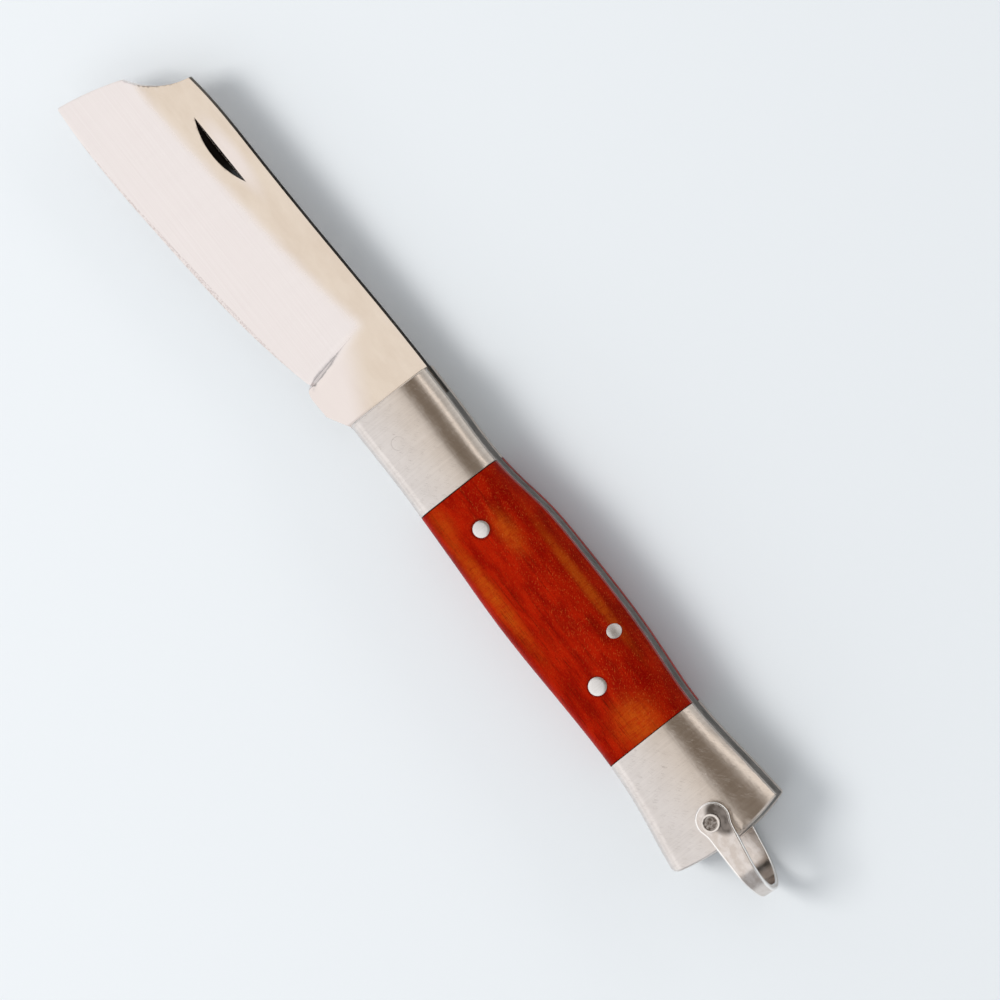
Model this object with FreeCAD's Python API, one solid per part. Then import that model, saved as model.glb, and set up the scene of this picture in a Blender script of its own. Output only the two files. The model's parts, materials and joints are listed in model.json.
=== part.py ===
import FreeCAD, Part
import math
import os

# A folding grafting knife, lying open on its side. Lengths are millimetres, angles degrees.
#
# Every solid is drawn in the knife's own frame and moved to the row frame at the end.
# Knife frame: the blade's pivot is the line x = y = 0 and the middle of the knife's thickness
# is z = 0. +X runs along the handle to the butt, +Y to the back, where the spring is, and +Z to
# the mark side, which is the side with the nail nick. The other side is the pile side.

V = FreeCAD.Vector

# Row frame: where the pivot stands. The origin is under the middle of the open knife.
PIVOT_IN_ROW = V(-9.80, -0.48, 9.05)

# Handle
HANDLE_FRONT = -8.3
FRONT_JOINT = 13.6
REAR_JOINT = 72.3
HALF_THICKNESS = 7.0
BACK_HALF_WIDTH = 4.0
SHOULDER_START = 6.7
BELLY_RADIUS = 2.2
LINER_THICKNESS = 1.0
CHANNEL_HALF_WIDTH = 1.35
END_CHAMFER = 0.3
BUTT_CORNER_DEPTH = 2.0
BUTT_ARC = [(95.3, 15.8), (97.15, 3.3), (95.8, -7.2)]
BUTT_CORNER_ARC = [(95.8, -7.2), (95.25, -8.4), (93.9, -9.3)]

# The handle's side outline: distance from the pivot, belly and back
STATIONS = [
    (-10.0, -5.45, 12.10),
    (2.0, -5.50, 12.00),
    (13.6, -5.70, 11.95),
    (20.0, -5.95, 12.70),
    (28.0, -6.30, 13.85),
    (39.0, -6.70, 14.20),
    (50.0, -6.55, 14.25),
    (60.0, -6.25, 13.80),
    (70.0, -6.15, 13.15),
    (77.0, -6.50, 13.35),
    (86.0, -7.70, 14.25),
    (98.5, -9.25, 15.45),
]

# Blade
BLADE_HALF_THICKNESS = 1.25
EDGE_HALF_THICKNESS = 0.15
SPINE = [(-2.2, 12.1), (-21.7, 11.95), (-38.5, 11.4), (-60.0, 10.95), (-73.1, 10.6), (-78.7, 10.0)]
NOTCH_ARC = [(-78.7, 10.0), (-81.35, 3.9), (-86.3, -0.6)]
FRONT_ARC = [(-86.3, -0.6), (-88.2, -6.6), (-89.6, -13.5)]
CUTTING_EDGE = [
    (-89.3, -13.9),
    (-78.9, -14.3),
    (-58.8, -13.4),
    (-38.6, -11.7),
    (-19.8, -8.25),
]
CHOIL = (-19.3, -7.95)
KICK_FRONT_ARC = [(-19.3, -7.95), (-18.3, -8.75), (-16.6, -9.15)]
KICK_REAR_ARC = [(-12.6, -9.0), (-10.9, -8.05), (-8.3, -6.5)]
GRIND_LINE = [(-93.0, 0.95), (-73.1, 1.4), (-48.1, 3.6), (-28.4, 5.9), (-22.1, 7.0)]
GRIND_WIDTH_AT_TIP = 15.3
GRIND_WIDTH_AT_PLUNGE = 15.4
PLUNGE_LEAN = 3.7
GRIND_OVERSHOOT = 0.25
WHEEL_WIDTH = 3.0

# Nail nick: the cut of a large thin disc that leans towards the spine
NICK_CENTRE = (-64.4, 6.35)
NICK_DISC_RADIUS = 32.0
NICK_LENGTH = 15.6
NICK_LEAN = 60.0
NICK_TILT = 1.0

# Tang, the blade's root between the bolsters
TANG_RADIUS = 5.6
TANG_FLAT = 5.33
CLOSED_ANGLE = 175.0

# Back spring. Its nose lies on the tang and its stop carries the kick of the closed blade.
SPRING_HALF_THICKNESS = 1.35
NOSE_FRONT = -2.15
NOSE_UNDERSIDE = 5.65
NOSE_END = 6.2
STOP_START = 10.8
STOP_UNDERSIDE = 7.95
STOP_END = 18.5
SPAN_START = (24.0, 8.8)
SPAN_END = (99.0, 9.8)

# Pins and rivets: centre and radius
PIVOT_PIN = ((0.0, 0.0), 1.3)
FRONT_SCALE_PIN = ((22.3, 2.45), 1.65)
REAR_SCALE_PIN = ((58.95, 1.6), 1.8)
SPRING_PIN = ((52.7, 10.5), 1.0)
SPRING_TAIL_PIN = ((88.0, 11.9), 1.25)
BAIL_PIN = ((92.3, 3.1), 1.3)
BOLSTER_RIVET_RADIUS = 0.9
FRONT_BOLSTER_RIVETS = [(-4.4, 8.2), (8.8, 1.4)]
REAR_BOLSTER_RIVETS = [(77.4, 3.4), (83.6, -2.2)]
HIDDEN_DEPTH = 5.0
RUNNING_CLEARANCE = 0.05
FLUSH_DOME = 0.08
SPRING_PIN_HEAD_RADIUS = 1.4
SPRING_PIN_HEAD_SEAT = 5.1
SPRING_PIN_DOME = 0.35

# Bail: a strip bent to a U, with an eye at each end
BAIL_INNER_HALF_WIDTH = 7.35
BAIL_STRIP = 1.2
BAIL_LENGTH = 16.8
BAIL_BEND_RADIUS = 6.2
BAIL_EYE_RADIUS = 3.4
BAIL_NECK_RADIUS = 5.0
BAIL_ROOT_HALF = 2.95
BAIL_EYE_CENTRE = (-0.4, 0.55)
BAIL_CROWN_HALF = 1.3
BAIL_REST_ANGLE = -5.2
BAIL_PIN_HEAD_RADIUS = 1.83
BAIL_PIN_HEAD_OUTSIDE = 9.05
BAIL_PIN_RECESS_RADIUS = 1.35
BAIL_PIN_RECESS_DEPTH = 0.25

FAR = 40.0
TOLERANCE = 1e-4


def point(xy, z=0.0):
    """A point of a side outline as a vector."""
    return V(xy[0], xy[1], z)


def line(start, end, z=0.0):
    """A straight edge of a side outline."""
    return Part.makeLine(point(start, z), point(end, z))


def arc(points, z=0.0):
    """A round edge of a side outline through three points."""
    return Part.Arc(*[point(p, z) for p in points]).toShape()


def curve(points, z=0.0):
    """A smooth edge of a side outline through its points."""
    spline = Part.BSplineCurve()
    spline.interpolate([point(p, z) for p in points])
    return spline.toShape()


def plate(edges, low, high):
    """A plate with a side outline, between two heights."""
    face = Part.Face(Part.Wire(edges))
    face.translate(V(0, 0, low))
    return face.extrude(V(0, 0, high - low))


def polygon(corners):
    """The edges of a closed outline with straight sides."""
    return [line(a, b) for a, b in zip(corners, corners[1:] + corners[:1])]


def slab(start, end, low, high):
    """A block higher and deeper than the knife, between two stations and two heights."""
    return Part.makeBox(end - start, 2 * FAR, high - low, V(start, -FAR, low))


def rod(centre, radius, low, high):
    """A round rod across the knife, between two heights."""
    return Part.makeCylinder(radius, high - low, point(centre, low))


def pile_side(shape):
    """The same piece on the other side of the knife."""
    return shape.mirror(V(0, 0, 0), V(0, 0, 1))


def turned(xy, angle):
    """A point of a side outline turned about the pivot."""
    c, s = math.cos(math.radians(angle)), math.sin(math.radians(angle))
    return (xy[0] * c - xy[1] * s, xy[0] * s + xy[1] * c)


def handle_section(x, belly, back):
    """The handle's outline across its length at one station: a flat belly with rounded corners,
    two flat sides, and two shoulders that curve from the sides to the flat back."""
    drop = HALF_THICKNESS - BACK_HALF_WIDTH
    run = back - SHOULDER_START
    radius = (run**2 + drop**2) / (2 * drop)
    shoulder_y = SHOULDER_START + run / 2
    shoulder_z = HALF_THICKNESS - radius + math.sqrt(radius**2 - (run / 2) ** 2)
    corner = BELLY_RADIUS * (1 - math.sqrt(0.5))
    belly_half = HALF_THICKNESS - BELLY_RADIUS
    one_side = [
        (belly, belly_half),
        (belly + corner, HALF_THICKNESS - corner),
        (belly + BELLY_RADIUS, HALF_THICKNESS),
        (SHOULDER_START, HALF_THICKNESS),
        (shoulder_y, shoulder_z),
        (back, BACK_HALF_WIDTH),
    ]
    a = [V(x, y, z) for y, z in one_side]
    b = [V(x, y, -z) for y, z in one_side]
    edges = [
        Part.Arc(a[0], a[1], a[2]).toShape(),
        Part.makeLine(a[2], a[3]),
        Part.Arc(a[3], a[4], a[5]).toShape(),
        Part.makeLine(a[5], b[5]),
        Part.Arc(b[5], b[4], b[3]).toShape(),
        Part.makeLine(b[3], b[2]),
        Part.Arc(b[2], b[1], b[0]).toShape(),
        Part.makeLine(b[0], a[0]),
    ]
    return Part.Wire(edges)


def handle_blank():
    """The whole handle as one block, which every piece of the handle is cut from."""
    sections = [handle_section(*row) for row in STATIONS]
    block = Part.makeLoft(sections, True, False)
    front_top, front_bottom = (HANDLE_FRONT, FAR), (HANDLE_FRONT, -FAR)
    butt_top, butt_bottom = BUTT_ARC[0], BUTT_CORNER_ARC[-1]
    outline = [
        line(front_top, front_bottom),
        line(front_bottom, (butt_bottom[0], -FAR)),
        line((butt_bottom[0], -FAR), butt_bottom),
        arc(BUTT_CORNER_ARC[::-1]),
        arc(BUTT_ARC[::-1]),
        line(butt_top, (butt_top[0], FAR)),
        line((butt_top[0], FAR), front_top),
    ]
    return block.common(plate(outline, -FAR, FAR))


def shoulder_height(x, y):
    """How far the handle's surface stands from the mid-plane at a point on the shoulder."""
    rows = [r for r in zip(STATIONS, STATIONS[1:]) if r[0][0] <= x <= r[1][0]]
    (x0, _, back0), (x1, _, back1) = rows[0]
    back = back0 + (back1 - back0) * (x - x0) / (x1 - x0)
    drop = HALF_THICKNESS - BACK_HALF_WIDTH
    run = back - SHOULDER_START
    radius = (run**2 + drop**2) / (2 * drop)
    return HALF_THICKNESS - radius + math.sqrt(radius**2 - (y - SHOULDER_START) ** 2)


def flat_face(face):
    """The plane face with the same outline as a lofted face that lies in a plane."""
    edges = [e.Curve.toShape(e.FirstParameter, e.LastParameter) for e in face.OuterWire.OrderedEdges]
    return Part.Face(Part.Wire(edges))


def with_flat_side(solid):
    """The same solid, where the face on the side of the handle is a true plane."""
    side = [f for f in solid.Faces if f.BoundBox.ZMin > HALF_THICKNESS - TOLERANCE]
    rest = [f for f in solid.Faces if f.BoundBox.ZMin <= HALF_THICKNESS - TOLERANCE]
    skin = Part.Compound([flat_face(f) for f in side] + rest)
    skin.sewShape()
    return Part.makeSolid(skin.Shells[0])


def chamfered_end(shape, along):
    """Breaks the sharp outer edges of a bolster's free end, the end that lies furthest along
    -X or +X. Returns the shape with a narrow chamfer there."""
    inner = CHANNEL_HALF_WIDTH + LINER_THICKNESS
    reach = max(along * f.CenterOfMass.x for f in shape.Faces)
    ends = [f for f in shape.Faces if along * f.CenterOfMass.x > reach - BUTT_CORNER_DEPTH]
    seams = [e for f in ends for e in f.Edges]
    outer = [
        e
        for e in seams
        if sum(e.isSame(other) for other in seams) == 1
        and max(v.Point.z for v in e.Vertexes) > inner + LINER_THICKNESS
    ]
    return with_flat_side(shape.makeChamfer(END_CHAMFER, outer))


def liner(blank):
    """One steel liner of the mark side, with its pin holes."""
    outside = CHANNEL_HALF_WIDTH + LINER_THICKNESS
    piece = blank.common(slab(-FAR, 3 * FAR, CHANNEL_HALF_WIDTH, outside))
    holes = [PIVOT_PIN, FRONT_SCALE_PIN, REAR_SCALE_PIN, SPRING_PIN, SPRING_TAIL_PIN, BAIL_PIN]
    for centre, radius in holes:
        piece = piece.cut(rod(centre, radius, 0, outside + 1))
    for centre in FRONT_BOLSTER_RIVETS + REAR_BOLSTER_RIVETS:
        piece = piece.cut(rod(centre, BOLSTER_RIVET_RADIUS, 0, outside + 1))
    return piece


def outer_piece(blank, start, end):
    """The stretch of the mark side's outer layer between two stations."""
    return blank.common(slab(start, end, CHANNEL_HALF_WIDTH + LINER_THICKNESS, FAR))


def front_bolster(blank):
    """The bolster of the mark side that carries the blade's pivot."""
    piece = chamfered_end(outer_piece(blank, -FAR, FRONT_JOINT), -1)
    piece = piece.cut(rod(*PIVOT_PIN, 0, FAR))
    for centre in FRONT_BOLSTER_RIVETS:
        piece = piece.cut(rod(centre, BOLSTER_RIVET_RADIUS, 0, HIDDEN_DEPTH))
    return piece


def rear_bolster(blank):
    """The flared bolster of the mark side that carries the bail's pin."""
    piece = chamfered_end(outer_piece(blank, REAR_JOINT, 3 * FAR), 1)
    piece = piece.cut(rod(*BAIL_PIN, 0, FAR))
    piece = piece.cut(rod(*SPRING_TAIL_PIN, 0, HIDDEN_DEPTH))
    for centre in REAR_BOLSTER_RIVETS:
        piece = piece.cut(rod(centre, BOLSTER_RIVET_RADIUS, 0, HIDDEN_DEPTH))
    return piece


def scale(blank):
    """The wooden scale of the mark side."""
    piece = outer_piece(blank, FRONT_JOINT, REAR_JOINT)
    for centre, radius in [FRONT_SCALE_PIN, REAR_SCALE_PIN, SPRING_PIN]:
        piece = piece.cut(rod(centre, radius, 0, FAR))
    head = rod(SPRING_PIN[0], SPRING_PIN_HEAD_RADIUS, SPRING_PIN_HEAD_SEAT, FAR)
    return piece.cut(head)


def scale_pin(centre, radius):
    """A short pin that holds the scale to its liner and doesn't enter the blade's channel.
    Its outer end is a very flat dome."""
    shank = rod(centre, radius, CHANNEL_HALF_WIDTH, HALF_THICKNESS + FLUSH_DOME)
    dome_radius = (radius**2 + FLUSH_DOME**2) / (2 * FLUSH_DOME)
    ball = Part.makeSphere(dome_radius, point(centre, HALF_THICKNESS + FLUSH_DOME - dome_radius))
    return shank.common(ball)


def spring_pin():
    """The through pin at the middle of the spring, with a domed head on each shoulder."""
    centre, radius = SPRING_PIN
    x, y = centre
    step = 0.1
    surface = shoulder_height(x, y)
    slope = (shoulder_height(x, y + step) - surface) / step
    normal = V(0, -slope, 1).normalize()
    ball_radius = (SPRING_PIN_HEAD_RADIUS**2 + SPRING_PIN_DOME**2) / (2 * SPRING_PIN_DOME)
    ball_centre = V(x, y, surface) - normal * (ball_radius - SPRING_PIN_DOME)
    seat = SPRING_PIN_HEAD_SEAT
    head = rod(centre, SPRING_PIN_HEAD_RADIUS, seat, FAR).common(
        Part.makeSphere(ball_radius, ball_centre)
    )
    shank = rod(centre, radius, -seat, seat)
    return shank.fuse([head, pile_side(head)]).removeSplitter()


def bolster_rivets():
    """The short hidden rivets that hold the mark side's two bolsters to their liner."""
    places = FRONT_BOLSTER_RIVETS + REAR_BOLSTER_RIVETS
    rivets = [rod(p, BOLSTER_RIVET_RADIUS, CHANNEL_HALF_WIDTH, HIDDEN_DEPTH) for p in places]
    return Part.makeCompound(rivets)


def back_spring(blank):
    """The spring between the liners. Its top is flush with the back of the handle."""
    corners = [
        (NOSE_FRONT, FAR),
        (NOSE_FRONT, NOSE_UNDERSIDE),
        (NOSE_END, NOSE_UNDERSIDE),
        (STOP_START, STOP_UNDERSIDE),
        (STOP_END, STOP_UNDERSIDE),
        SPAN_START,
        SPAN_END,
        (SPAN_END[0], FAR),
    ]
    half = SPRING_HALF_THICKNESS
    piece = blank.common(plate(polygon(corners), -half, half))
    for centre, radius in [SPRING_PIN, SPRING_TAIL_PIN]:
        piece = piece.cut(rod(centre, radius, -FAR, FAR))
    return piece


def blade_outline():
    """The blade and its tang from the side, blade open."""
    flat_half = math.sqrt(TANG_RADIUS**2 - TANG_FLAT**2)
    shoulder_foot = (SPINE[0][0], TANG_FLAT)
    open_flat_end = (flat_half, TANG_FLAT)
    closed_flat_start = turned((-flat_half, TANG_FLAT), -CLOSED_ANGLE)
    closed_flat_end = turned((flat_half, TANG_FLAT), -CLOSED_ANGLE)
    return [
        line(shoulder_foot, open_flat_end),
        arc([open_flat_end, (TANG_RADIUS, 0), closed_flat_start]),
        line(closed_flat_start, closed_flat_end),
        line(closed_flat_end, KICK_REAR_ARC[-1]),
        arc(KICK_REAR_ARC[::-1]),
        line(KICK_REAR_ARC[0], KICK_FRONT_ARC[-1]),
        arc(KICK_FRONT_ARC[::-1]),
        line(CHOIL, CUTTING_EDGE[-1]),
        curve(CUTTING_EDGE[::-1]),
        line(CUTTING_EDGE[0], FRONT_ARC[-1]),
        arc(FRONT_ARC[::-1]),
        arc(NOTCH_ARC[::-1]),
        curve(SPINE[::-1]),
        line(SPINE[0], shoulder_foot),
    ]


def grind():
    """What the grindstone takes from the blade's mark side: a wedge below the grind line."""
    first, last = GRIND_LINE[0][0], GRIND_LINE[-1][0]
    below = []
    for x, y in GRIND_LINE:
        share = (x - first) / (last - first)
        width = GRIND_WIDTH_AT_TIP + (GRIND_WIDTH_AT_PLUNGE - GRIND_WIDTH_AT_TIP) * share
        below.append((x + PLUNGE_LEAN * share, y - width * (1 + GRIND_OVERSHOOT)))
    depth = (BLADE_HALF_THICKNESS - EDGE_HALF_THICKNESS) * (1 + GRIND_OVERSHOOT)
    surface = Part.makeRuledSurface(
        curve(GRIND_LINE, BLADE_HALF_THICKNESS),
        curve(below, BLADE_HALF_THICKNESS - depth),
    )
    return surface.extrude(V(WHEEL_WIDTH / 2, 0, WHEEL_WIDTH))


def nail_nick():
    """The disc whose rim cuts the nail nick: its flat face makes the straight upper edge."""
    lean = math.radians(NICK_LEAN)
    into_blade = V(0, -math.sin(lean), math.cos(lean))
    away_from_blade = V(0, math.cos(lean), math.sin(lean))
    to_centre = math.sqrt(NICK_DISC_RADIUS**2 - (NICK_LENGTH / 2) ** 2)
    edge = point(NICK_CENTRE, BLADE_HALF_THICKNESS)
    disc = Part.makeCylinder(NICK_DISC_RADIUS, FAR, edge + away_from_blade * to_centre, into_blade)
    disc.rotate(edge, V(0, 0, 1), NICK_TILT)
    return disc


def blade():
    """The blade: a plate with both sides ground down to the edge, the nick and the bore."""
    half = BLADE_HALF_THICKNESS
    piece = plate(blade_outline(), -half, half)
    wedge = grind()
    piece = piece.cut(wedge).cut(pile_side(wedge)).cut(nail_nick())
    centre, radius = PIVOT_PIN
    return piece.cut(rod(centre, radius + RUNNING_CLEARANCE, -FAR, FAR))


def bail_band(half_width, reach, radius):
    """The bail's bend seen along Y: two straight arms, two round bends and a short flat crown."""
    back = -2 * BAIL_EYE_RADIUS
    bend, flat = reach - radius, half_width - radius
    middle = radius * math.sqrt(0.5)
    one_side = [
        V(back, 0, half_width),
        V(bend, 0, half_width),
        V(bend + middle, 0, flat + middle),
        V(reach, 0, flat),
    ]
    a = one_side
    b = [V(p.x, 0, -p.z) for p in one_side]
    edges = [
        Part.makeLine(a[0], a[1]),
        Part.Arc(a[1], a[2], a[3]).toShape(),
        Part.makeLine(a[3], b[3]),
        Part.Arc(b[3], b[2], b[1]).toShape(),
        Part.makeLine(b[1], b[0]),
        Part.makeLine(b[0], a[0]),
    ]
    face = Part.Face(Part.Wire(edges))
    face.translate(V(0, -FAR, 0))
    return face.extrude(V(0, 2 * FAR, 0))


def is_neck(edge):
    """True for the upright edges where the bail's arms leave its eyes."""
    ends = [v.Point for v in edge.Vertexes]
    upright = len(ends) == 2 and abs(ends[0].z - ends[1].z) > BAIL_STRIP
    on_eye = all(
        abs(math.hypot(p.x - BAIL_EYE_CENTRE[0], p.y - BAIL_EYE_CENTRE[1]) - BAIL_EYE_RADIUS) < TOLERANCE
        for p in ends
    )
    return upright and on_eye and ends[0].x > 0


def bail():
    """The shackle at the butt, drawn about its pin and then turned to its resting angle."""
    outer = BAIL_INNER_HALF_WIDTH + BAIL_STRIP
    x, y = BAIL_EYE_CENTRE
    arms = [
        (x, y + BAIL_ROOT_HALF),
        (x, y - BAIL_ROOT_HALF),
        (BAIL_LENGTH + 1, y - BAIL_CROWN_HALF),
        (BAIL_LENGTH + 1, y + BAIL_CROWN_HALF),
    ]
    eye = rod(BAIL_EYE_CENTRE, BAIL_EYE_RADIUS, -outer, outer)
    side = plate(polygon(arms), -outer, outer).fuse(eye).removeSplitter()
    necks = [e for e in side.Edges if is_neck(e)]
    side = side.makeFillet(BAIL_NECK_RADIUS, necks)
    outside = bail_band(outer, BAIL_LENGTH, BAIL_BEND_RADIUS + BAIL_STRIP)
    inside = bail_band(BAIL_INNER_HALF_WIDTH, BAIL_LENGTH - BAIL_STRIP, BAIL_BEND_RADIUS)
    band = outside.cut(inside)
    piece = side.common(band).removeSplitter()
    centre, radius = BAIL_PIN
    piece = piece.cut(rod((0, 0), radius + RUNNING_CLEARANCE, -FAR, FAR))
    piece.rotate(V(0, 0, 0), V(0, 0, 1), BAIL_REST_ANGLE)
    piece.translate(point(centre))
    return piece


def bail_pin():
    """The pin through the butt that the bail hangs on, with a dished head at each end."""
    centre, radius = BAIL_PIN
    under_head = BAIL_INNER_HALF_WIDTH + BAIL_STRIP + RUNNING_CLEARANCE
    head = rod(centre, BAIL_PIN_HEAD_RADIUS, under_head, BAIL_PIN_HEAD_OUTSIDE)
    recess_floor = BAIL_PIN_HEAD_OUTSIDE - BAIL_PIN_RECESS_DEPTH
    head = head.cut(rod(centre, BAIL_PIN_RECESS_RADIUS, recess_floor, FAR))
    shank = rod(centre, radius, -under_head, under_head)
    return shank.fuse([head, pile_side(head)]).removeSplitter()


def sub_parts():
    """Every piece of the knife by name, in the knife's frame."""
    blank = handle_blank()
    one_side = {
        "liner": liner(blank),
        "front_bolster": front_bolster(blank),
        "rear_bolster": rear_bolster(blank),
        "scale": scale(blank),
        "front_scale_pin": scale_pin(*FRONT_SCALE_PIN),
        "rear_scale_pin": scale_pin(*REAR_SCALE_PIN),
        "bolster_rivets": bolster_rivets(),
    }
    pieces = {
        "blade": blade(),
        "back_spring": back_spring(blank),
        "blade_pivot_pin": rod(*PIVOT_PIN, -HALF_THICKNESS, HALF_THICKNESS),
        "spring_pin": spring_pin(),
        "spring_tail_pin": rod(*SPRING_TAIL_PIN, -HIDDEN_DEPTH, HIDDEN_DEPTH),
        "bail": bail(),
        "bail_pin": bail_pin(),
    }
    for name, shape in one_side.items():
        pieces["mark_" + name] = shape
        pieces["pile_" + name] = pile_side(shape)
    return pieces


def main():
    os.makedirs("parts", exist_ok=True)
    for name, shape in sub_parts().items():
        shape.translate(PIVOT_IN_ROW)
        shape.exportStep(f"parts/{name}.step")


main()
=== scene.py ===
import json
import math

import bmesh
import bpy
from mathutils import Matrix, Vector
from mathutils.bvhtree import BVHTree

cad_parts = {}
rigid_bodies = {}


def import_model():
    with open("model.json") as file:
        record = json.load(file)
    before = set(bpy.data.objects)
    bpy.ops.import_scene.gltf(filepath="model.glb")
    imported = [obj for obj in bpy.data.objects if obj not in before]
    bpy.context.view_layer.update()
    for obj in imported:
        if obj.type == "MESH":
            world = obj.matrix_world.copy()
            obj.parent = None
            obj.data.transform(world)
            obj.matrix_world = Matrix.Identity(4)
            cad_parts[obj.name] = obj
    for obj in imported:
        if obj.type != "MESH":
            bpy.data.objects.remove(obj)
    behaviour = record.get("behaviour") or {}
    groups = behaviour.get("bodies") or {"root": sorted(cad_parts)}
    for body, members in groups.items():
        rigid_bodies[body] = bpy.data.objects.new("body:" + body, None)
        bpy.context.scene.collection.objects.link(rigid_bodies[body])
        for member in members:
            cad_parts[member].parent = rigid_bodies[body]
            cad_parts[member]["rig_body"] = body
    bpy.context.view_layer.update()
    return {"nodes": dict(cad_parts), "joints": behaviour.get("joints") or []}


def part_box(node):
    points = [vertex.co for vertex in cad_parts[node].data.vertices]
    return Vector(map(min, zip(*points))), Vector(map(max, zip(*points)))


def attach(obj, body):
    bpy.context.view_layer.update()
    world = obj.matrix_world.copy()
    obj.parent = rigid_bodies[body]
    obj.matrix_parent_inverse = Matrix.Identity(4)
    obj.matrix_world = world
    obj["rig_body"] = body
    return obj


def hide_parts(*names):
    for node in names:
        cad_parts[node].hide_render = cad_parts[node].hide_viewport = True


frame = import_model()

# A folding grafting knife. Blender's lengths are metres, and MM turns millimetres into them.
# +X runs to the butt, +Y to the back and +Z to the mark side, which has the nail nick.
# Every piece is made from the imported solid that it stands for, so it lies exactly in its place.
MM = 0.001
SIDES = ("mark", "pile")
PIVOT = Vector(next(j["pos_m"] for j in frame["joints"] if j["name"] == "blade_pivot"))

# The handle's section, in mm from its middle plane and from the pivot
HALF_THICKNESS = 7.0
BACK_HALF_WIDTH = 4.0
SHOULDER_START = 6.7

# How far the ricasso reaches from the pivot towards the tip, in mm
RICASSO_FRONT = 19.4


def middle(node):
    """The middle of a CAD node's box."""
    low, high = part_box(node)
    return (low + high) / 2


PIN_RADIUS = (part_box("blade_pivot_pin")[1].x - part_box("blade_pivot_pin")[0].x) / 2 / MM


# ---------------------------------------------------------------- camera, floor and light

# The camera looks at the knife's mark side from a little behind its back, so that the knife
# lies across the picture with its blade at the upper left. Its long lens leaves next to no
# perspective. AIM_RIGHT and AIM_UP are the picture's middle, seen from the pivot.
VIEW_FROM = Vector((0.0563, 0.2127, 1.0)).normalized()
ROLL = math.radians(52.2)
LENS = 1000.0
FIELD_WIDTH = 187.6 * MM
AIM_RIGHT, AIM_UP = 17.7 * MM, -11.2 * MM

# In metres
FLOOR_HALF_WIDTH = 3.0
CARD_HALF_LENGTH = 1.4
CARD_HEIGHT = 1.7


def camera():
    data = bpy.data.cameras.new("camera")
    data.lens = LENS
    data.clip_start, data.clip_end = 0.05, 20.0
    along = (Vector((1, 0, 0)) - VIEW_FROM * VIEW_FROM.x).normalized()
    across = VIEW_FROM.cross(along)
    right = along * math.cos(ROLL) + across * math.sin(ROLL)
    up = VIEW_FROM.cross(right)
    distance = FIELD_WIDTH * LENS / data.sensor_width
    place = PIVOT + right * AIM_RIGHT + up * AIM_UP + VIEW_FROM * distance
    obj = bpy.data.objects.new("camera", data)
    obj.matrix_world = Matrix((right, up, VIEW_FROM)).transposed().to_4x4()
    obj.location = place
    bpy.context.scene.collection.objects.link(obj)
    bpy.context.scene.camera = obj


def floor():
    half = FLOOR_HALF_WIDTH
    mesh = bpy.data.meshes.new("floor")
    corners = [(-half, -half, 0), (half, -half, 0), (half, half, 0), (-half, half, 0)]
    mesh.from_pydata(corners, [], [(0, 1, 2, 3)])
    obj = bpy.data.objects.new("floor", mesh)
    bpy.context.scene.collection.objects.link(obj)
    mesh.materials.append(plain("floor_paper", (0.80, 0.84, 0.87), 0.9))


def softbox(name, place, size, power, color):
    """A rectangular light that faces the knife and that the camera doesn't see."""
    data = bpy.data.lights.new(name, "AREA")
    data.shape = "RECTANGLE"
    data.size, data.size_y = size
    data.energy = power
    data.color = color
    obj = bpy.data.objects.new(name, data)
    obj.location = place
    obj.rotation_mode = "QUATERNION"
    obj.rotation_quaternion = (PIVOT - Vector(place)).to_track_quat("-Z", "Y")
    obj.visible_camera = False
    bpy.context.scene.collection.objects.link(obj)
    return obj


def dark_card(name, near, far):
    """A dark card above the knife, from near to far along Y. It shows only as a dark band in the
    polished metal."""
    half, height = CARD_HALF_LENGTH, CARD_HEIGHT
    mesh = bpy.data.meshes.new(name)
    corners = [(-half, near, height), (half, near, height), (half, far, height), (-half, far, height)]
    mesh.from_pydata(corners, [], [(0, 1, 2, 3)])
    # The card glows faintly, so that its reflection is a dim warm band and not black.
    mesh.materials.append(plain(name, (0.0, 0.0, 0.0), 1.0, glow=(0.20, 0.165, 0.132)))
    obj = bpy.data.objects.new(name, mesh)
    for ray in ("camera", "diffuse", "transmission", "shadow", "volume_scatter"):
        setattr(obj, "visible_" + ray, False)
    bpy.context.scene.collection.objects.link(obj)


def from_above(tilt, distance, along=0.0):
    """A point at a distance from the knife, tilted by degrees from straight above it towards its
    back, and moved along X."""
    turn = math.radians(tilt)
    return PIVOT + Vector((along, distance * math.sin(turn), distance * math.cos(turn)))


def studio():
    world = bpy.data.worlds.new("studio")
    world.use_nodes = True
    background = world.node_tree.nodes["Background"]
    background.inputs["Color"].default_value = (0.95, 0.97, 1.0, 1)
    background.inputs["Strength"].default_value = 0.50
    bpy.context.scene.world = world
    bpy.context.scene.view_settings.view_transform = "Standard"
    # name, place, size in metres, power in watts, colour
    softbox("sky", from_above(-30, 1.5, -0.05), (2.0, 1.35), 5.6, (1.0, 0.98, 0.96))
    softbox("back_strip", from_above(63, 1.4), (1.4, 0.32), 1.7, (1.0, 0.96, 0.92))
    softbox("belly_fill", from_above(-74, 1.4), (1.8, 0.75), 2.6, (1.0, 0.98, 0.96))
    softbox("tip_fill", PIVOT + Vector((-1.4, -0.1, 0.45)), (1.2, 0.8), 1.6, (1.0, 0.97, 0.95))
    key = softbox("key", from_above(-30, 1.6, -0.7), (0.7, 0.7), 14.0, (1.0, 0.97, 0.94))
    # The key light doesn't show in the metal.
    key.visible_glossy = False
    dark_card("card", from_above(-1, 1.7).y, from_above(50, 2.6).y)


# ---------------------------------------------------------------- materials

# The sizes of noise and the depths of bump are in mm, and so are the r.x, r.y and r.z that a
# recipe compares with places on the knife. Colours are linear.


def in_mm(place):
    return tuple(c / MM for c in place)


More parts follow.
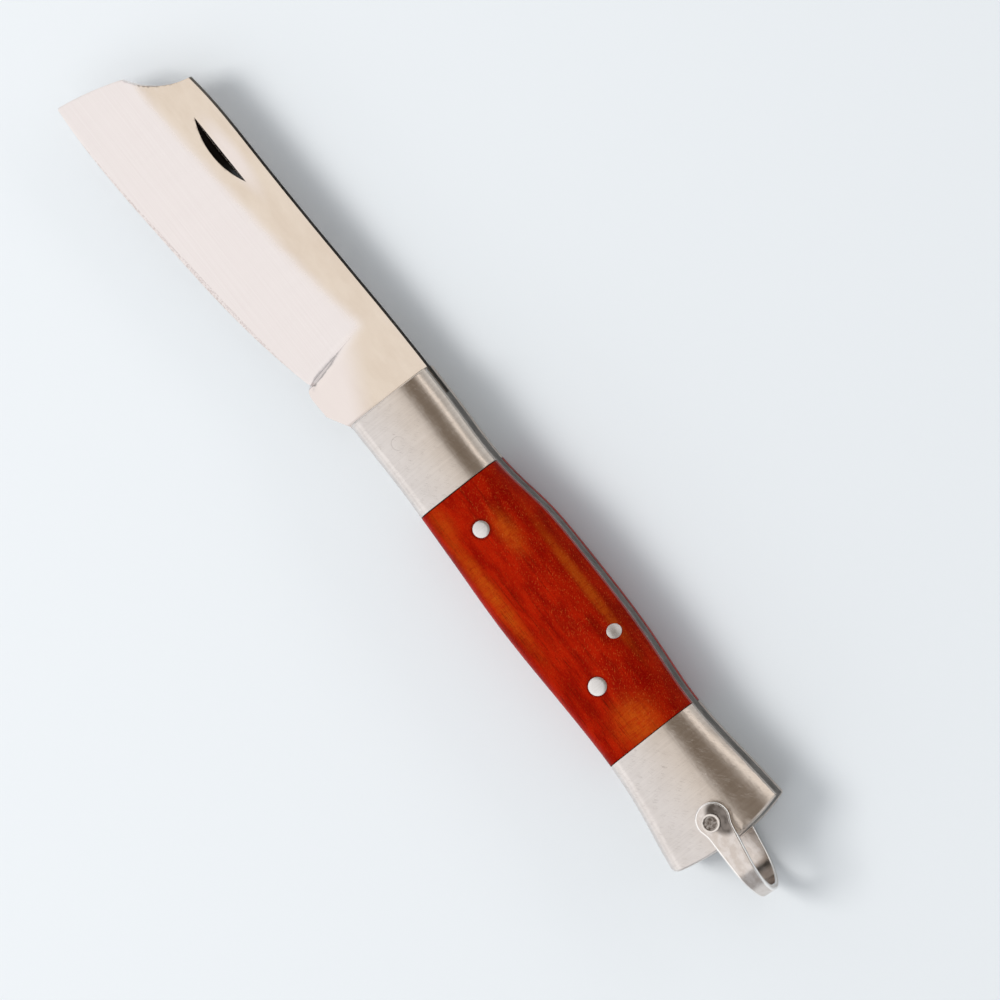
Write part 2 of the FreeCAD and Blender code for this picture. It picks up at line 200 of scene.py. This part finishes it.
def plain(name, color, roughness, glow=(0.0, 0.0, 0.0)):
    """A dull material of one colour, for the floor and the card."""
    mat = bpy.data.materials.new(name)
    mat.use_nodes = True
    shader = mat.node_tree.nodes["Principled BSDF"]
    shader.inputs["Base Color"].default_value = (*color, 1)
    shader.inputs["Roughness"].default_value = roughness
    shader.inputs["Specular IOR Level"].default_value = 0.0
    shader.inputs["Emission Color"].default_value = (*glow, 1)
    shader.inputs["Emission Strength"].default_value = 1.0
    return mat


class Recipe:
    """A material's nodes. Its values are sockets, so that they read like a sum."""

    def __init__(self, name, **constants):
        """constants are set on the shader's own sockets, with _ for a space."""
        self.mat = bpy.data.materials.new(name)
        self.mat.use_nodes = True
        self.tree = self.mat.node_tree
        self.shader = self.tree.nodes["Principled BSDF"]
        for socket, value in constants.items():
            self.shader.inputs[socket.replace("_", " ")].default_value = value
        place = self.node("ShaderNodeTexCoord").outputs["Object"]
        self.mm = self.vector("SCALE", place, Scale=1 / MM)
        self.x, self.y, self.z = self.node("ShaderNodeSeparateXYZ", Vector=self.mm).outputs

    def node(self, kind, settings=None, **inputs):
        made = self.tree.nodes.new(kind)
        for key, value in (settings or {}).items():
            setattr(made, key, value)
        for key, value in inputs.items():
            self.put(made.inputs[key.replace("_", " ")], value)
        return made

    def put(self, socket, value):
        if isinstance(value, bpy.types.NodeSocket):
            self.tree.links.new(value, socket)
        elif isinstance(value, tuple) and len(value) == 3 and socket.type == "RGBA":
            socket.default_value = (*value, 1)
        else:
            socket.default_value = value

    def vector(self, operation, a, b=None, **inputs):
        made = self.node("ShaderNodeVectorMath", {"operation": operation}, **inputs)
        self.put(made.inputs[0], a)
        if b is not None:
            self.put(made.inputs[1], b)
        return made.outputs["Value" if operation == "LENGTH" else "Vector"]

    def maths(self, operation, a, b=0.0):
        made = self.node("ShaderNodeMath", {"operation": operation})
        for socket, value in zip(made.inputs, (a, b)):
            self.put(socket, value)
        return made.outputs[0]

    def noise(self, stretch, detail=3.0, roughness=0.55, shift=(0, 0, 0)):
        """Noise from 0 to 1 whose spots are as long in each direction as stretch says, in mm."""
        size = tuple(1 / s for s in stretch)
        place = self.vector("ADD", self.vector("MULTIPLY", self.mm, size), shift)
        return self.node(
            "ShaderNodeTexNoise", Vector=place, Scale=1.0, Detail=detail, Roughness=roughness
        ).outputs["Fac"]

    def step(self, value, start, end):
        """0 below start and 1 above end, with a smooth change between. end may be below start."""
        return self.node(
            "ShaderNodeMapRange",
            {"interpolation_type": "SMOOTHSTEP"},
            Value=value,
            From_Min=start,
            From_Max=end,
        ).outputs["Result"]

    def mix(self, share, a, b):
        """Colour a where share is 0 and b where it is 1."""
        made = self.node("ShaderNodeMix", {"data_type": "RGBA"})
        self.put(made.inputs["Factor"], share)
        self.put(made.inputs[6], a)
        self.put(made.inputs[7], b)
        return made.outputs[2]

    def times(self, a, b):
        return self.maths("MULTIPLY", a, b)

    def plus(self, a, b):
        return self.maths("ADD", a, b)

    def spot(self, centre, reach, edge=0.5):
        """1 at centre, which is in metres, and 0 at reach, in mm, away from it. The change begins
        at the share edge of the reach."""
        offset = self.vector("SUBTRACT", self.mm, in_mm(centre))
        scaled = self.vector("MULTIPLY", offset, tuple(1 / r for r in reach))
        return self.step(self.vector("LENGTH", scaled), 1.0, edge)

    def from_axis(self, centre):
        """The distance in mm from the line along Z through centre, which is in metres."""
        offset = self.vector("SUBTRACT", self.mm, in_mm(centre))
        return self.vector("LENGTH", self.vector("MULTIPLY", offset, (1.0, 1.0, 0.0)))

    def turned_noise(self, angle, stretch, detail):
        """Noise whose spots lie at an angle, in radians, to the knife's length."""
        turned = self.node(
            "ShaderNodeVectorRotate", {"rotation_type": "Z_AXIS"}, Vector=self.mm, Angle=angle
        )
        place = self.vector("MULTIPLY", turned.outputs[0], stretch)
        return self.node("ShaderNodeTexNoise", Vector=place, Scale=1.0, Detail=detail).outputs["Fac"]

    def bump(self, height, depth):
        """Raises the surface by height times depth, in mm."""
        made = self.node("ShaderNodeBump", Height=height, Distance=depth * MM, Strength=1.0)
        return made.outputs[0]

    def finish(self, **inputs):
        for socket, value in inputs.items():
            self.put(self.shader.inputs[socket.replace("_", " ")], value)
        return self.mat


def brushed_metal(name, light, dark, along, rough, grazing=1.0):
    """Steel or nickel silver with brush lines in one direction, worn smoother in patches.
    Below 1, grazing makes it darker where it is seen at a slant."""
    r = Recipe(name, Metallic=1.0, Specular_Tint=(grazing, grazing, grazing, 1))
    lines = r.noise([12.0 if along == axis else 0.07 for axis in "XYZ"], detail=4.0)
    stretch = [16.0 if along == axis else 0.45 for axis in "XYZ"]
    coarse = r.noise(stretch, detail=2.0, shift=(3, 7, 1))
    cloud = r.noise((5.0, 5.0, 5.0), shift=(9, 2, 4))
    tone = r.plus(r.times(lines, 0.35), r.plus(r.times(coarse, 0.20), r.times(cloud, 0.45)))
    color = r.mix(r.step(tone, 0.35, 0.65), dark, light)
    roughness = r.plus(rough - 0.08, r.times(tone, 0.16))
    normal = r.bump(r.plus(lines, r.times(coarse, 0.6)), 0.002)
    return r.finish(Base_Color=color, Roughness=roughness, Normal=normal)


def bolster_metal():
    """Nickel silver brushed across the knife, with a few fine scratches. The warmer tone towards its
    back is a painted reflection."""
    r = Recipe("bolster_metal", Metallic=1.0)
    lines = r.noise((0.06, 9.0, 9.0), detail=4.0)
    coarse = r.noise((0.50, 16.0, 16.0), detail=2.0, shift=(3, 7, 1))
    cloud = r.noise((6.0, 4.0, 6.0), shift=(9, 2, 4))
    tone = r.plus(r.times(lines, 0.35), r.plus(r.times(coarse, 0.25), r.times(cloud, 0.40)))
    share = r.step(tone, 0.30, 0.70)
    pivot_y = PIVOT.y / MM
    # Painted reflection: paler towards the belly, warmer and darker towards the back
    back = r.step(r.y, pivot_y - 4.0, pivot_y + 8.0)
    pale_reflection = r.mix(share, (0.68, 0.63, 0.60), (0.81, 0.76, 0.73))
    warm_reflection = r.mix(share, (0.61, 0.52, 0.44), (0.75, 0.66, 0.58))
    color = r.mix(back, pale_reflection, warm_reflection)
    scratch = r.step(r.turned_noise(0.9, (20.0, 0.5, 0.5), detail=0.0), 0.735, 0.76)
    color = r.mix(r.times(scratch, 0.5), color, (0.42, 0.37, 0.33))
    # A faint ring shows where the pivot pin was ground flush.
    ring = r.step(r.maths("ABSOLUTE", r.plus(r.from_axis(PIVOT), -PIN_RADIUS)), 0.09, 0.02)
    worn_ring = r.times(ring, r.step(cloud, 0.45, 0.60))
    color = r.mix(r.times(worn_ring, 0.35), color, (0.35, 0.31, 0.28))
    roughness = r.plus(0.23, r.times(tone, 0.16))
    height = r.plus(r.plus(lines, r.times(coarse, 0.6)), r.times(r.plus(scratch, worn_ring), -1.5))
    return r.finish(Base_Color=color, Roughness=roughness, Normal=r.bump(height, 0.0035))


def blade_steel():
    """Polished warm flats, a paler satin bevel, a ground spine painted dark as a dark reflection, and
    a nick painted black as shade.
    """
    r = Recipe("blade_steel", Metallic=1.0)
    ground, spine, nick = (
        r.node("ShaderNodeAttribute", {"attribute_name": name}).outputs["Fac"]
        for name in ("ground", "spine", "nick")
    )
    across = r.noise((0.10, 14.0, 14.0), detail=4.0)
    along = r.noise((18.0, 0.12, 6.0), detail=4.0, shift=(5, 1, 2))
    cloud = r.noise((9.0, 4.0, 9.0), shift=(2, 8, 3))
    low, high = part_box("blade")
    tip_x, middle_z = low.x / MM, (low.z + high.z) / 2 / MM

    flat = r.mix(r.step(cloud, 0.30, 0.70), (0.67, 0.565, 0.465), (0.71, 0.61, 0.51))
    bevel = r.mix(r.step(along, 0.30, 0.70), (0.82, 0.755, 0.735), (0.86, 0.80, 0.78))
    # Two of the photo's reflections are painted in, as paler flats: one over the lower half of
    # the ricasso and one round the nick.
    slanted = r.plus(r.y, r.times(r.plus(r.x, -tip_x - 69.0), 0.5))
    heel = r.times(r.step(r.x, tip_x + 65.0, tip_x + 69.0), r.step(slanted, 6.0, -1.0))
    nick_middle = Vector((low.x + 27.5 * MM, high.y - 4.8 * MM, high.z))
    halo = r.spot(nick_middle, (12.0, 2.6, 9.0), 0.2)
    pale_reflection = r.maths("MAXIMUM", r.times(heel, 0.8), r.times(halo, 0.7))
    color = r.mix(ground, r.mix(pale_reflection, flat, (0.79, 0.72, 0.70)), bevel)

    # The cutting edge is worn in spots.
    from_middle = r.maths("ABSOLUTE", r.plus(r.z, -middle_z))
    worn = r.noise((0.25, 0.25, 0.25), detail=3.0, shift=(7, 7, 2))
    edge = r.times(r.step(from_middle, 0.165, 0.150), r.step(worn, 0.42, 0.62))
    edge = r.times(edge, r.step(r.y, 3.0, 0.0))
    color = r.mix(r.times(edge, 0.6), color, (0.45, 0.36, 0.34))
    # The photo's shade where the ricasso meets the bolsters is painted in too.
    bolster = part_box("mark_front_bolster")[0].x / MM
    shade = r.times(r.step(r.x, bolster - 0.9, bolster - 0.1), r.step(r.y, 3.0, -6.0))
    color = r.mix(r.times(shade, 0.55), color, (0.36, 0.32, 0.30))
    # The spine is coarsely ground, and its dark colour, lighter near the tip, is a painted dark
    # reflection.
    near_tip = r.step(r.x, tip_x + 28.0, tip_x + 14.0)
    coarse = r.mix(r.step(across, 0.35, 0.65), (0.075, 0.068, 0.062), (0.15, 0.137, 0.125))
    color = r.mix(spine, color, r.mix(near_tip, coarse, (0.26, 0.23, 0.20)))
    # The nick is painted black as shade in its hollow, with a painted blue-grey reflection towards
    # the handle.
    wavy = r.plus(r.x, r.times(r.noise((1.5, 0.3, 0.3), detail=2.0), 3.0))
    inside = r.mix(
        r.step(wavy, tip_x + 29.0, tip_x + 35.0), (0.016, 0.014, 0.013), (0.16, 0.18, 0.20)
    )
    color = r.mix(nick, color, inside)

    satin = r.times(ground, r.plus(0.10, r.times(across, 0.14)))
    rough = r.plus(r.plus(0.12, r.times(along, 0.08)), satin)
    rough = r.plus(rough, r.times(spine, 0.2))
    lines = r.plus(r.times(across, r.maths("MAXIMUM", ground, spine)), r.times(along, 0.5))
    # Seen at a slant, the spine stays dark.
    grazing = r.mix(spine, (1.0, 1.0, 1.0), (0.3, 0.3, 0.3))
    normal = r.bump(lines, 0.0010)
    return r.finish(Base_Color=color, Roughness=rough, Specular_Tint=grazing, Normal=normal)


def scale_wood(side):
    """Deep red hardwood with fine grain and pale flecks, worn to orange in places, with painted
    orange highlights along the shoulder and the lower edge.
    """
    r = Recipe(f"{side}_scale_wood", Specular_Tint=(1.0, 0.25, 0.06, 1), IOR=1.28)
    mottle = r.noise((7.0, 2.0, 3.0), detail=4.0, roughness=0.6)
    wave = r.noise((16.0, 4.5, 5.0), detail=2.0, shift=(1, 2, 3))
    streaks = r.noise((18.0, 0.8, 1.0), detail=4.0, roughness=0.6, shift=(6, 1, 0))
    speckle = r.noise((0.30, 0.20, 0.20), detail=3.0, roughness=0.7, shift=(4, 0, 9))
    lines = r.noise((5.0, 0.17, 0.5), detail=2.0, shift=(8, 3, 5))
    flecks = r.turned_noise(0.55, (2.1, 7.5, 7.5), detail=1.0)
    low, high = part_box(f"{side}_scale")
    front, rear = middle(f"{side}_front_scale_pin"), middle(f"{side}_rear_scale_pin")
    pivot_y = PIVOT.y / MM

    base = r.mix(r.step(mottle, 0.34, 0.66), (0.25, 0.0009, 0.0003), (0.39, 0.0085, 0.0009))
    base = r.mix(r.times(r.step(wave, 0.48, 0.30), 0.65), base, (0.17, 0.0009, 0.0004))
    base = r.mix(r.times(r.step(streaks, 0.44, 0.30), 0.55), base, (0.12, 0.0010, 0.0004))
    # Patches rubbed through to orange, and two long bands of painted highlight: centre, reach in mm,
    # share of orange
    orange = (0.46, 0.066, 0.004)
    worn = [
        (front + Vector((3.5, 3.8, 0)) * MM, (8.0, 3.2, 9.0), 0.75),
        (front + Vector((-5.0, -5.0, 0)) * MM, (6.0, 3.0, 9.0), 0.45),
        # A painted highlight along the lower edge
        (front + Vector((11.0, -6.0, 0)) * MM, (22.0, 2.4, 9.0), 0.80),
        (Vector((high.x, front.y, 0)) + Vector((-3.5, 1.0, 0)) * MM, (8.0, 7.0, 99.0), 0.70),
        # A painted highlight along the shoulder
        (front + Vector((20.0, 8.9, 0)) * MM, (23.0, 1.5, 9.0), 0.90),
    ]
    rubbed = r.noise((0.32, 2.2, 2.2), detail=3.0, shift=(2, 5, 7))
    patchy = r.noise((2.5, 1.2, 2.0), detail=3.0, shift=(3, 9, 1))
    rubbed, patchy = r.step(rubbed, 0.35, 0.6), r.step(patchy, 0.3, 0.6)
    texture = r.plus(r.times(rubbed, 0.45), r.times(patchy, 0.55))
    for centre, reach, share in worn:
        patch = r.times(r.spot(centre, reach, 0.0), r.plus(0.35, r.times(texture, 0.9)))
        base = r.mix(r.maths("MINIMUM", r.times(patch, share * 1.3), 1.0), base, orange)
    # Darker along the back, speckled all over, with pale flecks above and dark grain below
    back = r.step(r.y, pivot_y + 5.0, pivot_y + 11.0)
    base = r.mix(r.times(back, 0.28), base, (0.10, 0.0006, 0.0002))
    base = r.mix(r.times(r.step(speckle, 0.52, 0.72), 0.36), base, (0.46, 0.038, 0.004))
    base = r.mix(r.times(r.step(speckle, 0.46, 0.30), 0.50), base, (0.10, 0.0010, 0.0005))
    upper = r.plus(0.35, r.times(r.step(r.y, pivot_y + 1.0, pivot_y + 5.0), 0.65))
    base = r.mix(r.times(r.step(flecks, 0.62, 0.72), r.times(upper, 0.45)), base, (0.55, 0.13, 0.026))
    lower = r.times(r.step(r.y, pivot_y + 5.0, pivot_y + 1.0), r.step(r.x, 20.0, 30.0))
    grain = r.times(r.step(lines, 0.42, 0.32), r.plus(0.15, r.times(lower, 0.45)))
    base = r.mix(grain, base, (0.05, 0.003, 0.001))
    # Dark lines against the bolsters and round the pins
    to_rear = r.plus(high.x / MM, r.times(r.x, -1.0))
    from_end = r.maths("MINIMUM", r.plus(r.x, -low.x / MM), to_rear)
    base = r.mix(r.step(from_end, 0.24, 0.10), base, (0.015, 0.002, 0.001))
    for pin in (front, rear):
        rim = r.step(r.from_axis(pin), 2.25, 1.85)
        base = r.mix(r.times(rim, 0.55), base, (0.06, 0.002, 0.001))
    height = r.plus(r.times(speckle, 0.5), r.plus(r.times(lines, 0.5), r.times(streaks, 0.4)))
    rough = r.plus(0.27, r.times(speckle, 0.20))
    return r.finish(Base_Color=base, Roughness=rough, Normal=r.bump(height, 0.008))


def bail_steel():
    """Plated steel whose rounded edges carry a painted highlight. The dark patch above the eye is a
    painted reflection."""
    r = Recipe("bail_steel", Metallic=1.0)
    rim = r.node("ShaderNodeAttribute", {"attribute_name": "rim"}).outputs["Fac"]
    lines = r.noise((6.0, 0.12, 0.12), detail=4.0)
    cloud = r.noise((2.2, 1.6, 3.0), detail=3.0, shift=(9, 2, 4))
    face = r.mix(r.step(cloud, 0.35, 0.65), (0.60, 0.53, 0.48), (0.74, 0.68, 0.64))
    eye = middle("bail_pin")
    above = r.spot(eye + Vector((0.3, 1.9, 0)) * MM, (4.3, 2.7, 99.0), 0.65)
    cloudy = r.plus(0.75, r.times(r.step(cloud, 0.35, 0.65), 0.25))
    face = r.mix(r.times(above, cloudy), face, (0.095, 0.078, 0.067))
    # The rounded edges are painted nearly white, as a painted highlight
    color = r.mix(rim, face, (0.96, 0.93, 0.90))
    rough = r.plus(0.16, r.times(cloud, 0.12))
    height = r.plus(r.times(lines, 0.5), r.times(cloud, 0.8))
    return r.finish(Base_Color=color, Roughness=rough, Normal=r.bump(height, 0.006))


def bail_pin_steel():
    """A peened pin: a bright rim round a dark, hammered core."""
    r = Recipe("bail_pin_steel", Metallic=1.0)
    away = r.from_axis(middle("bail_pin") - Vector((0.10, 0.15, 0)) * MM)
    dents = r.noise((0.55, 0.55, 0.55), detail=4.0, roughness=0.65)
    core = r.step(r.plus(away, r.times(dents, 0.35)), 1.60, 1.38)
    dark = r.mix(r.step(dents, 0.38, 0.62), (0.15, 0.12, 0.10), (0.52, 0.47, 0.43))
    color = r.mix(core, (0.74, 0.68, 0.63), dark)
    rough = r.plus(0.18, r.times(core, 0.2))
    height = r.times(r.plus(dents, 0.3), r.plus(0.15, core))
    return r.finish(Base_Color=color, Roughness=rough, Normal=r.bump(height, 0.10))


# ---------------------------------------------------------------- pieces

COPLANAR = math.radians(0.05)
CORNER = math.radians(30)
SHARP = math.radians(50)
GROUND_SLOPE = math.cos(math.radians(1.0))

# A face is a wall if its normal's part along Z is below STEEP, and it faces squarely along an
# axis if its normal's part along that axis is above SQUARELY.
STEEP = 0.15
SQUARELY = 0.97

# Roundings, slices and margins in mm
HOLE_ROUNDING = 0.04
BLADE_ROUNDING = 0.09
BAIL_ROUNDING = 0.36
COVER_SLICES = (2.5, 0.6)
BLADE_SLICES = (0.6, 0.6)
SHOULDER_BLUR = 1.2
RIM_MARGIN = 0.2

# The square that a height is averaged over has this many points to each side of its middle.
SQUARE_POINTS = 3


def welded(node):
    """A CAD node's mesh with its seams closed and its flat faces whole, ready to be worked on."""
    bm = bmesh.new()
    bm.from_mesh(frame["nodes"][node].data)
    bmesh.ops.remove_doubles(bm, verts=bm.verts, dist=2e-7)
    bmesh.ops.dissolve_limit(bm, angle_limit=COPLANAR, verts=bm.verts, edges=bm.edges)
    bm.normal_update()
    return bm


def centre(edge):
    """The middle of an edge."""
    return (edge.verts[0].co + edge.verts[1].co) / 2


def soften(bm, width, segments=2, chosen=lambda edge: True):
    """Rounds the chosen sharp edges off to a width in mm, and returns the new faces."""
    edges = [e for e in bm.edges if e.calc_face_angle(0.0) > CORNER and chosen(e)]
    made = bmesh.ops.bevel(
        bm,
        geom=edges,
        offset=width * MM,
        offset_type="OFFSET",
        segments=segments,
        profile=0.5,
        affect="EDGES",
        clamp_overlap=True,
    )
    return made["faces"]


def sliced(bm, *steps):
    """Cuts all faces by planes across X, and then across Y, that are the steps apart in mm."""
    bmesh.ops.triangulate(bm, faces=bm.faces)
    for axis, step in enumerate(steps):
        low, high = (pick(v.co[axis] for v in bm.verts) for pick in (min, max))
        normal = Vector((axis == 0, axis == 1, 0))
        for count in range(1, int((high - low) / (step * MM))):
            place = normal * (low + count * step * MM)
            parts = bm.verts[:] + bm.edges[:] + bm.faces[:]
            bmesh.ops.bisect_plane(bm, geom=parts, dist=1e-7, plane_co=place, plane_no=normal)


def smooth_step(value, start, end):
    """0 below start and 1 above end, with a smooth change between."""
    share = max(0.0, min(1.0, (value - start) / (end - start)))
    return share * share * (3 - 2 * share)


def relaxed(bm, reach, in_nick, ground):
    """Averages the height of both broad sides over a small square, so that creases become soft.
    reach gives its half width in mm at a place. Points near the outline and in the nick stay as
    they are. The ground layer gets the share of the square that slopes."""
    tree = BVHTree.FromBMesh(bm)
    far, close = 30 * MM, 0.002 * MM
    flat = max(v.co.z for v in bm.verts)
    count = SQUARE_POINTS
    square = []
    for i in range(-count, count + 1):
        for j in range(-count, count + 1):
            weight = math.exp(-2.0 * (i * i + j * j) / count**2)
            square.append((Vector((i, j, 0)) / count * MM, weight))

    def look(place, side):
        """The height of a broad side at a place and whether it slopes, or None past the outline.
        The nick counts as filled."""
        if side > 0 and in_nick(place):
            return flat, 0.0
        start = Vector((place.x, place.y, PIVOT.z + side * far))
        hit, normal = tree.ray_cast(start, Vector((0, 0, -side)))[:2]
        return (hit.z, float(abs(normal.z) < GROUND_SLOPE)) if hit else None

    moved = []
    for v in bm.verts:
        side = 1 if v.co.z > PIVOT.z else -1
        if side > 0 and in_nick(v.co):
            continue
        own = look(v.co, side)
        width = reach(v.co)
        around = [look(v.co + offset * width, side) for offset, weight in square]
        seen = [(hit, weight) for hit, (offset, weight) in zip(around, square) if hit]
        total = sum(weight for hit, weight in seen)
        if not seen:
            continue
        v[ground] = sum(hit[1] * weight for hit, weight in seen) / total
        if own and abs(own[0] - v.co.z) < close and None not in around:
            moved.append((v, sum(hit[0] * weight for hit, weight in seen) / total))
    for v, z in moved:
        v.co.z = z


def ease_shoulder(bm, node):
    """Lets a cover's flat run gradually into its round shoulder, as hand polishing leaves it."""
    side = 1 if node.startswith("mark") else -1
    tree = BVHTree.FromBMesh(bm)
    start = PIVOT.y + SHOULDER_START * MM
    # The back edge's place is measured at this height, where it is a plain wall.
    wall = PIVOT.z + side * BACK_HALF_WIDTH * 0.8 * MM
    drop = (HALF_THICKNESS - BACK_HALF_WIDTH) * MM
    blur = SHOULDER_BLUR * MM
    behind = 0.05
    backs = {}
    for v in bm.verts:
        past = v.co.y - start
        if side * (v.co.z - PIVOT.z) < BACK_HALF_WIDTH * MM or past < -3 * blur:
            continue
        key = round(v.co.x, 5)
        if key not in backs:
            hit = tree.ray_cast(Vector((key, behind, wall)), Vector((0, -1, 0)))[0]
            backs[key] = hit.y if hit else None
        if backs[key] is None:
            continue
        width = backs[key] - start
        curve = 2 * drop / (width**2 + drop**2)
        bell = math.exp(-0.5 * (past / blur) ** 2) / math.sqrt(2 * math.pi)
        below = 0.5 * (1 + math.erf(past / blur / math.sqrt(2)))
        soft = (past**2 + blur**2) * below + past * blur * bell
        change = curve / 2 * (soft - max(past, 0.0) ** 2)
        # The change fades out before the back edge.
        v.co.z -= side * change * (1 - smooth_step(past / width, 0.35, 0.85))


def piece(name, bm, mat, node):
    """Turns finished mesh work into a piece that stands for a CAD node and rides where it does."""
    bm.normal_update()
    for face in bm.faces:
        face.smooth = True
    for edge in bm.edges:
        edge.smooth = edge.calc_face_angle(0.0) < SHARP
    mesh = bpy.data.meshes.new(name)
    bm.to_mesh(mesh)
    bm.free()
    mesh.materials.append(mat)
    obj = bpy.data.objects.new(name, mesh)
    bpy.context.scene.collection.objects.link(obj)
    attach(obj, frame["nodes"][node]["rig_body"])
    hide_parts(node)
    weighted = obj.modifiers.new("normals", "WEIGHTED_NORMAL")
    weighted.keep_sharp = True


def repaint(node, mat):
    """Gives a CAD node that keeps its mesh a new material."""
    materials = frame["nodes"][node].data.materials
    materials.clear()
    materials.append(mat)


def eased(node, mat, width, segments=2):
    """A CAD node's shape with its edges rounded off to a width in mm."""
    bm = welded(node)
    soften(bm, width, segments)
    piece(node + ".fine", bm, mat, node)


def at_hole(side):
    """A test for points at the rim of one of the holes in a side's bolsters or scale."""
    nodes = (f"{side}_front_scale_pin", f"{side}_rear_scale_pin", "spring_pin")
    holes = []
    for node in nodes:
        low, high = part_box(node)
        holes.append((middle(node).xy, (high.x - low.x) / 2 + RIM_MARGIN * MM))
    return lambda place: any((place.xy - centre).length < radius for centre, radius in holes)


def at_pivot(place):
    """Tells whether a point is at the rim of the pivot pin's hole."""
    return (place.xy - PIVOT.xy).length < (PIN_RADIUS + RIM_MARGIN) * MM


def cover(node, mat, width):
    """A bolster or scale: its broad side runs softly into its shoulder."""
    at_rim = at_hole(node.split("_")[0])
    bm = welded(node)
    soften(bm, HOLE_ROUNDING, 1, lambda edge: at_rim(centre(edge)))
    soften(bm, width, 2, lambda edge: not at_rim(centre(edge)) and not at_pivot(centre(edge)))
    sliced(bm, *COVER_SLICES)
    ease_shoulder(bm, node)
    piece(node + ".fine", bm, mat, node)


def blade():
    """The blade: its spine, ricasso and tang stay crisp, and its ground creases become soft."""
    low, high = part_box("blade")
    left, right = low.x + 17.1 * MM, low.x + 33.3 * MM
    bottom, top = high.y - 7.95 * MM, high.y - 5.4 * MM

    def in_nick(place):
        return left < place.x < right and bottom < place.y < top

    def crisp(edge):
        """Tells whether an edge belongs to the outline of the spine, the ricasso or the tang."""
        walls = [face.normal for face in edge.link_faces if abs(face.normal.z) < STEEP]
        return any(n.y > SQUARELY or centre(edge).x > PIVOT.x - RICASSO_FRONT * MM for n in walls)

    def reach(place):
        """In mm. The plunge by the ricasso is tighter than the bevel's upper line."""
        return 0.8 + 0.75 * smooth_step((place.y - PIVOT.y) / MM, -5.0, 4.0)

    bm = welded("blade")
    soften(bm, BLADE_ROUNDING, 2, lambda edge: not crisp(edge))
    bm.normal_update()
    spine = bm.faces.layers.float.new("spine")
    for f in bm.faces:
        f[spine] = float(f.normal.y > SQUARELY)
    sliced(bm, *BLADE_SLICES)
    ground = bm.verts.layers.float.new("ground")
    relaxed(bm, reach, in_nick, ground)
    bm.normal_update()
    nick = bm.faces.layers.float.new("nick")
    for f in bm.faces:
        place = f.calc_center_median()
        lower = f.normal.y > 0 or place.z < high.z - 0.08 * MM
        f[nick] = float(in_nick(place) and abs(f.normal.z) < SQUARELY and lower)
    piece("blade.fine", bm, blade_steel(), "blade")


def bail():
    """The bail, with well rounded edges that its material paints as bright rims, a painted highlight.
    """
    bm = welded("bail")
    rim = bm.faces.layers.float.new("rim")
    for face in soften(bm, BAIL_ROUNDING, 4):
        face[rim] = 1.0
    piece("bail.fine", bm, bail_steel(), "bail")


def main():
    camera()
    floor()
    studio()
    bolster = bolster_metal()
    steel = brushed_metal(
        "plain_steel", (0.54, 0.51, 0.48), (0.36, 0.34, 0.32), "X", 0.34, grazing=0.25
    )
    pins = brushed_metal("pin_metal", (0.86, 0.83, 0.81), (0.70, 0.67, 0.65), "Y", 0.34)
    blade()
    bail()
    eased("bail_pin", bail_pin_steel(), 0.2, 3)
    eased("back_spring", steel, 0.10)
    repaint("blade_pivot_pin", bolster)
    domed = brushed_metal("spring_pin_metal", (0.80, 0.75, 0.71), (0.62, 0.57, 0.53), "Y", 0.50)
    eased("spring_pin", domed, 0.05)
    for side in SIDES:
        eased(f"{side}_liner", steel, 0.10)
        cover(f"{side}_front_bolster", bolster, 0.12)
        cover(f"{side}_rear_bolster", bolster, 0.12)
        cover(f"{side}_scale", scale_wood(side), 0.10)
        eased(f"{side}_front_scale_pin", pins, 0.04)
        eased(f"{side}_rear_scale_pin", pins, 0.04)
    for node in ("spring_tail_pin", "mark_bolster_rivets", "pile_bolster_rivets"):
        repaint(node, steel)


main()
